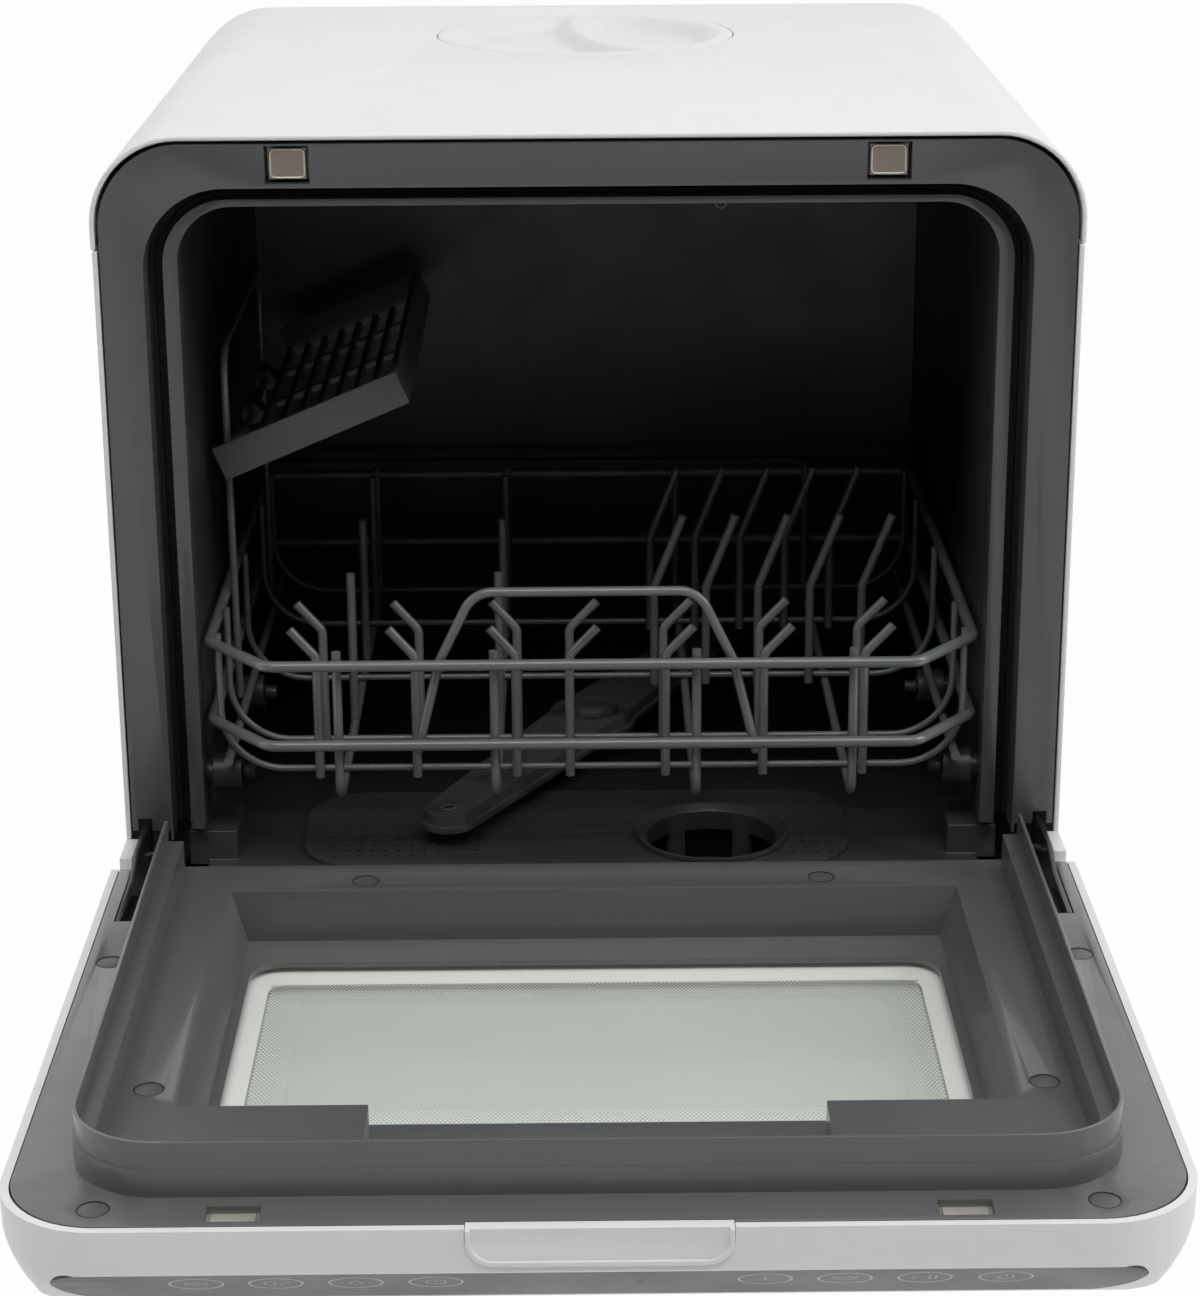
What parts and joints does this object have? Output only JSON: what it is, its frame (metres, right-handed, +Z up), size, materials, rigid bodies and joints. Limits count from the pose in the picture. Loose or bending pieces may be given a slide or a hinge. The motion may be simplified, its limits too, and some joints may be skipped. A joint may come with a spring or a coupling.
{
  "type": "countertop dishwasher",
  "caption": "Compact countertop dishwasher with a drop-down windowed door, sliding wire rack, folding cup shelf, spray arm and a capped water inlet on top.",
  "frame": {"origin": "centre of the footprint, on the plane that the feet stand on", "axes": "+X to the right seen from the front, -Y out of the front (the opened door reaches towards -Y), +Z up; the rest pose has the door open"},
  "size_m": [0.42, 0.7908, 0.4202],
  "materials": {
    "white_enamel": "gloss",
    "white_plastic": "gloss",
    "grey_plastic": "satin",
    "mid_grey_plastic": "satin",
    "black_plastic": "satin",
    "rubber": "matte",
    "coated_wire": "satin",
    "tub_steel": "satin",
    "plain_steel": "satin",
    "dark_steel": "satin",
    "galvanised": "satin",
    "clear_glass": "gloss",
    "control_strip": "gloss",
    "circuit_board": "satin"
  },
  "bodies": {
    "cabinet": {"top_cover": "white_plastic", "left_side_panel": "white_enamel", "right_side_panel": "white_enamel", "rear_panel": "galvanised", "base_pan": "galvanised", "feet": "rubber", "plinth_panel": "white_plastic", "front_bezel": "grey_plastic", "door_gasket": "rubber", "bottom_lip_seal": "rubber", "tub": "tub_steel", "latch_strikes": "plain_steel", "filter_plate": "grey_plastic", "sump": "black_plastic", "wash_pump": "black_plastic", "drain_pump": "black_plastic", "flow_heater": "plain_steel", "inlet_valve": "grey_plastic", "water_tank": "white_plastic", "fill_neck": "white_plastic", "control_box": "black_plastic", "inlet_spigot": "grey_plastic", "drain_spigot": "grey_plastic", "cable_gland": "grey_plastic", "hinge_pins": "plain_steel", "hinge_springs": "plain_steel", "roller_brackets": "black_plastic", "spray_spindle": "grey_plastic", "internal_hoses": "rubber"},
    "door": {"door_shell": "white_plastic", "door_liner": "grey_plastic", "window_outer": "clear_glass", "window_inner": "clear_glass", "control_panel": "control_strip", "control_board": "circuit_board", "door_latches": "plain_steel", "screw_plugs": "mid_grey_plastic", "handle_lip": "white_plastic", "hinge_arms": "dark_steel"},
    "spray_arm_body": {"spray_arm": "mid_grey_plastic", "spray_arm_cap": "mid_grey_plastic"},
    "rack": {"rack_rails": "coated_wire", "rack_cross_wires": "coated_wire", "rack_long_wires": "coated_wire", "rack_handle": "coated_wire", "rack_cup_tines": "coated_wire", "rack_plate_tines": "coated_wire", "shelf_frame": "coated_wire"},
    "cup_shelf_body": {"cup_shelf": "coated_wire"},
    "filter_body": {"filter_cup": "grey_plastic"},
    "cap_seal_body": {"fill_cap_seal": "rubber"},
    "cap_body": {"fill_cap": "white_plastic"},
    "wheel_front_left": {"roller_front_left": "black_plastic"},
    "wheel_front_right": {"roller_front_right": "black_plastic"},
    "wheel_rear_left": {"roller_rear_left": "black_plastic"},
    "wheel_rear_right": {"roller_rear_right": "black_plastic"}
  },
  "joints": [
    {"name": "door_hinge", "type": "hinge", "parent": "cabinet", "child": "door", "pos_m": [0, -0.2314, 0.0854], "axis": [-1, 0, 0], "range_deg": [0, 90], "deforming": ["hinge_springs"]},
    {"name": "rack_slide", "type": "slide", "parent": "cabinet", "child": "rack", "axis": [0, 1, 0], "range_m": [-0.25, 0]},
    {"name": "spray_arm_spin", "type": "hinge", "parent": "cabinet", "child": "spray_arm_body", "pos_m": [0, -0.042, 0.1], "axis": [0, 0, 1], "continuous": true},
    {"name": "cup_shelf_fold", "type": "hinge", "parent": "rack", "child": "cup_shelf_body", "pos_m": [-0.1631, 0, 0.257], "axis": [0, -1, 0], "range_deg": [0, 60]},
    {"name": "fill_cap_lift", "type": "slide", "parent": "cabinet", "child": "cap_seal_body", "axis": [0, 0, 1], "range_m": [0, 0.06]},
    {"name": "fill_cap_turn", "type": "hinge", "parent": "cap_seal_body", "child": "cap_body", "pos_m": [0, 0.096, 0.42], "axis": [0, 0, 1], "range_deg": [0, 90]},
    {"name": "filter_cup_turn", "type": "hinge", "parent": "cabinet", "child": "filter_body", "pos_m": [0.055, -0.168, 0.08], "axis": [0, 0, 1], "range_deg": [0, 60]},
    {"name": "roller_front_left_spin", "type": "hinge", "parent": "cabinet", "child": "wheel_front_left", "pos_m": [-0.16525, -0.181, 0.12652], "axis": [1, 0, 0], "range_deg": [-1700, 1700]},
    {"name": "roller_front_right_spin", "type": "hinge", "parent": "cabinet", "child": "wheel_front_right", "pos_m": [0.16525, -0.181, 0.12652], "axis": [1, 0, 0], "range_deg": [-1700, 1700]},
    {"name": "roller_rear_left_spin", "type": "hinge", "parent": "cabinet", "child": "wheel_rear_left", "pos_m": [-0.16525, -0.075, 0.12652], "axis": [1, 0, 0], "range_deg": [-1700, 1700]},
    {"name": "roller_rear_right_spin", "type": "hinge", "parent": "cabinet", "child": "wheel_rear_right", "pos_m": [0.16525, -0.075, 0.12652], "axis": [1, 0, 0], "range_deg": [-1700, 1700]}
  ],
  "couplings": [
    {"joint": "roller_front_left_spin", "follows": "rack_slide", "rad_per_m": -117.65},
    {"joint": "roller_front_right_spin", "follows": "rack_slide", "rad_per_m": -117.65},
    {"joint": "roller_rear_left_spin", "follows": "rack_slide", "rad_per_m": -117.65},
    {"joint": "roller_rear_right_spin", "follows": "rack_slide", "rad_per_m": -117.65}
  ]
}
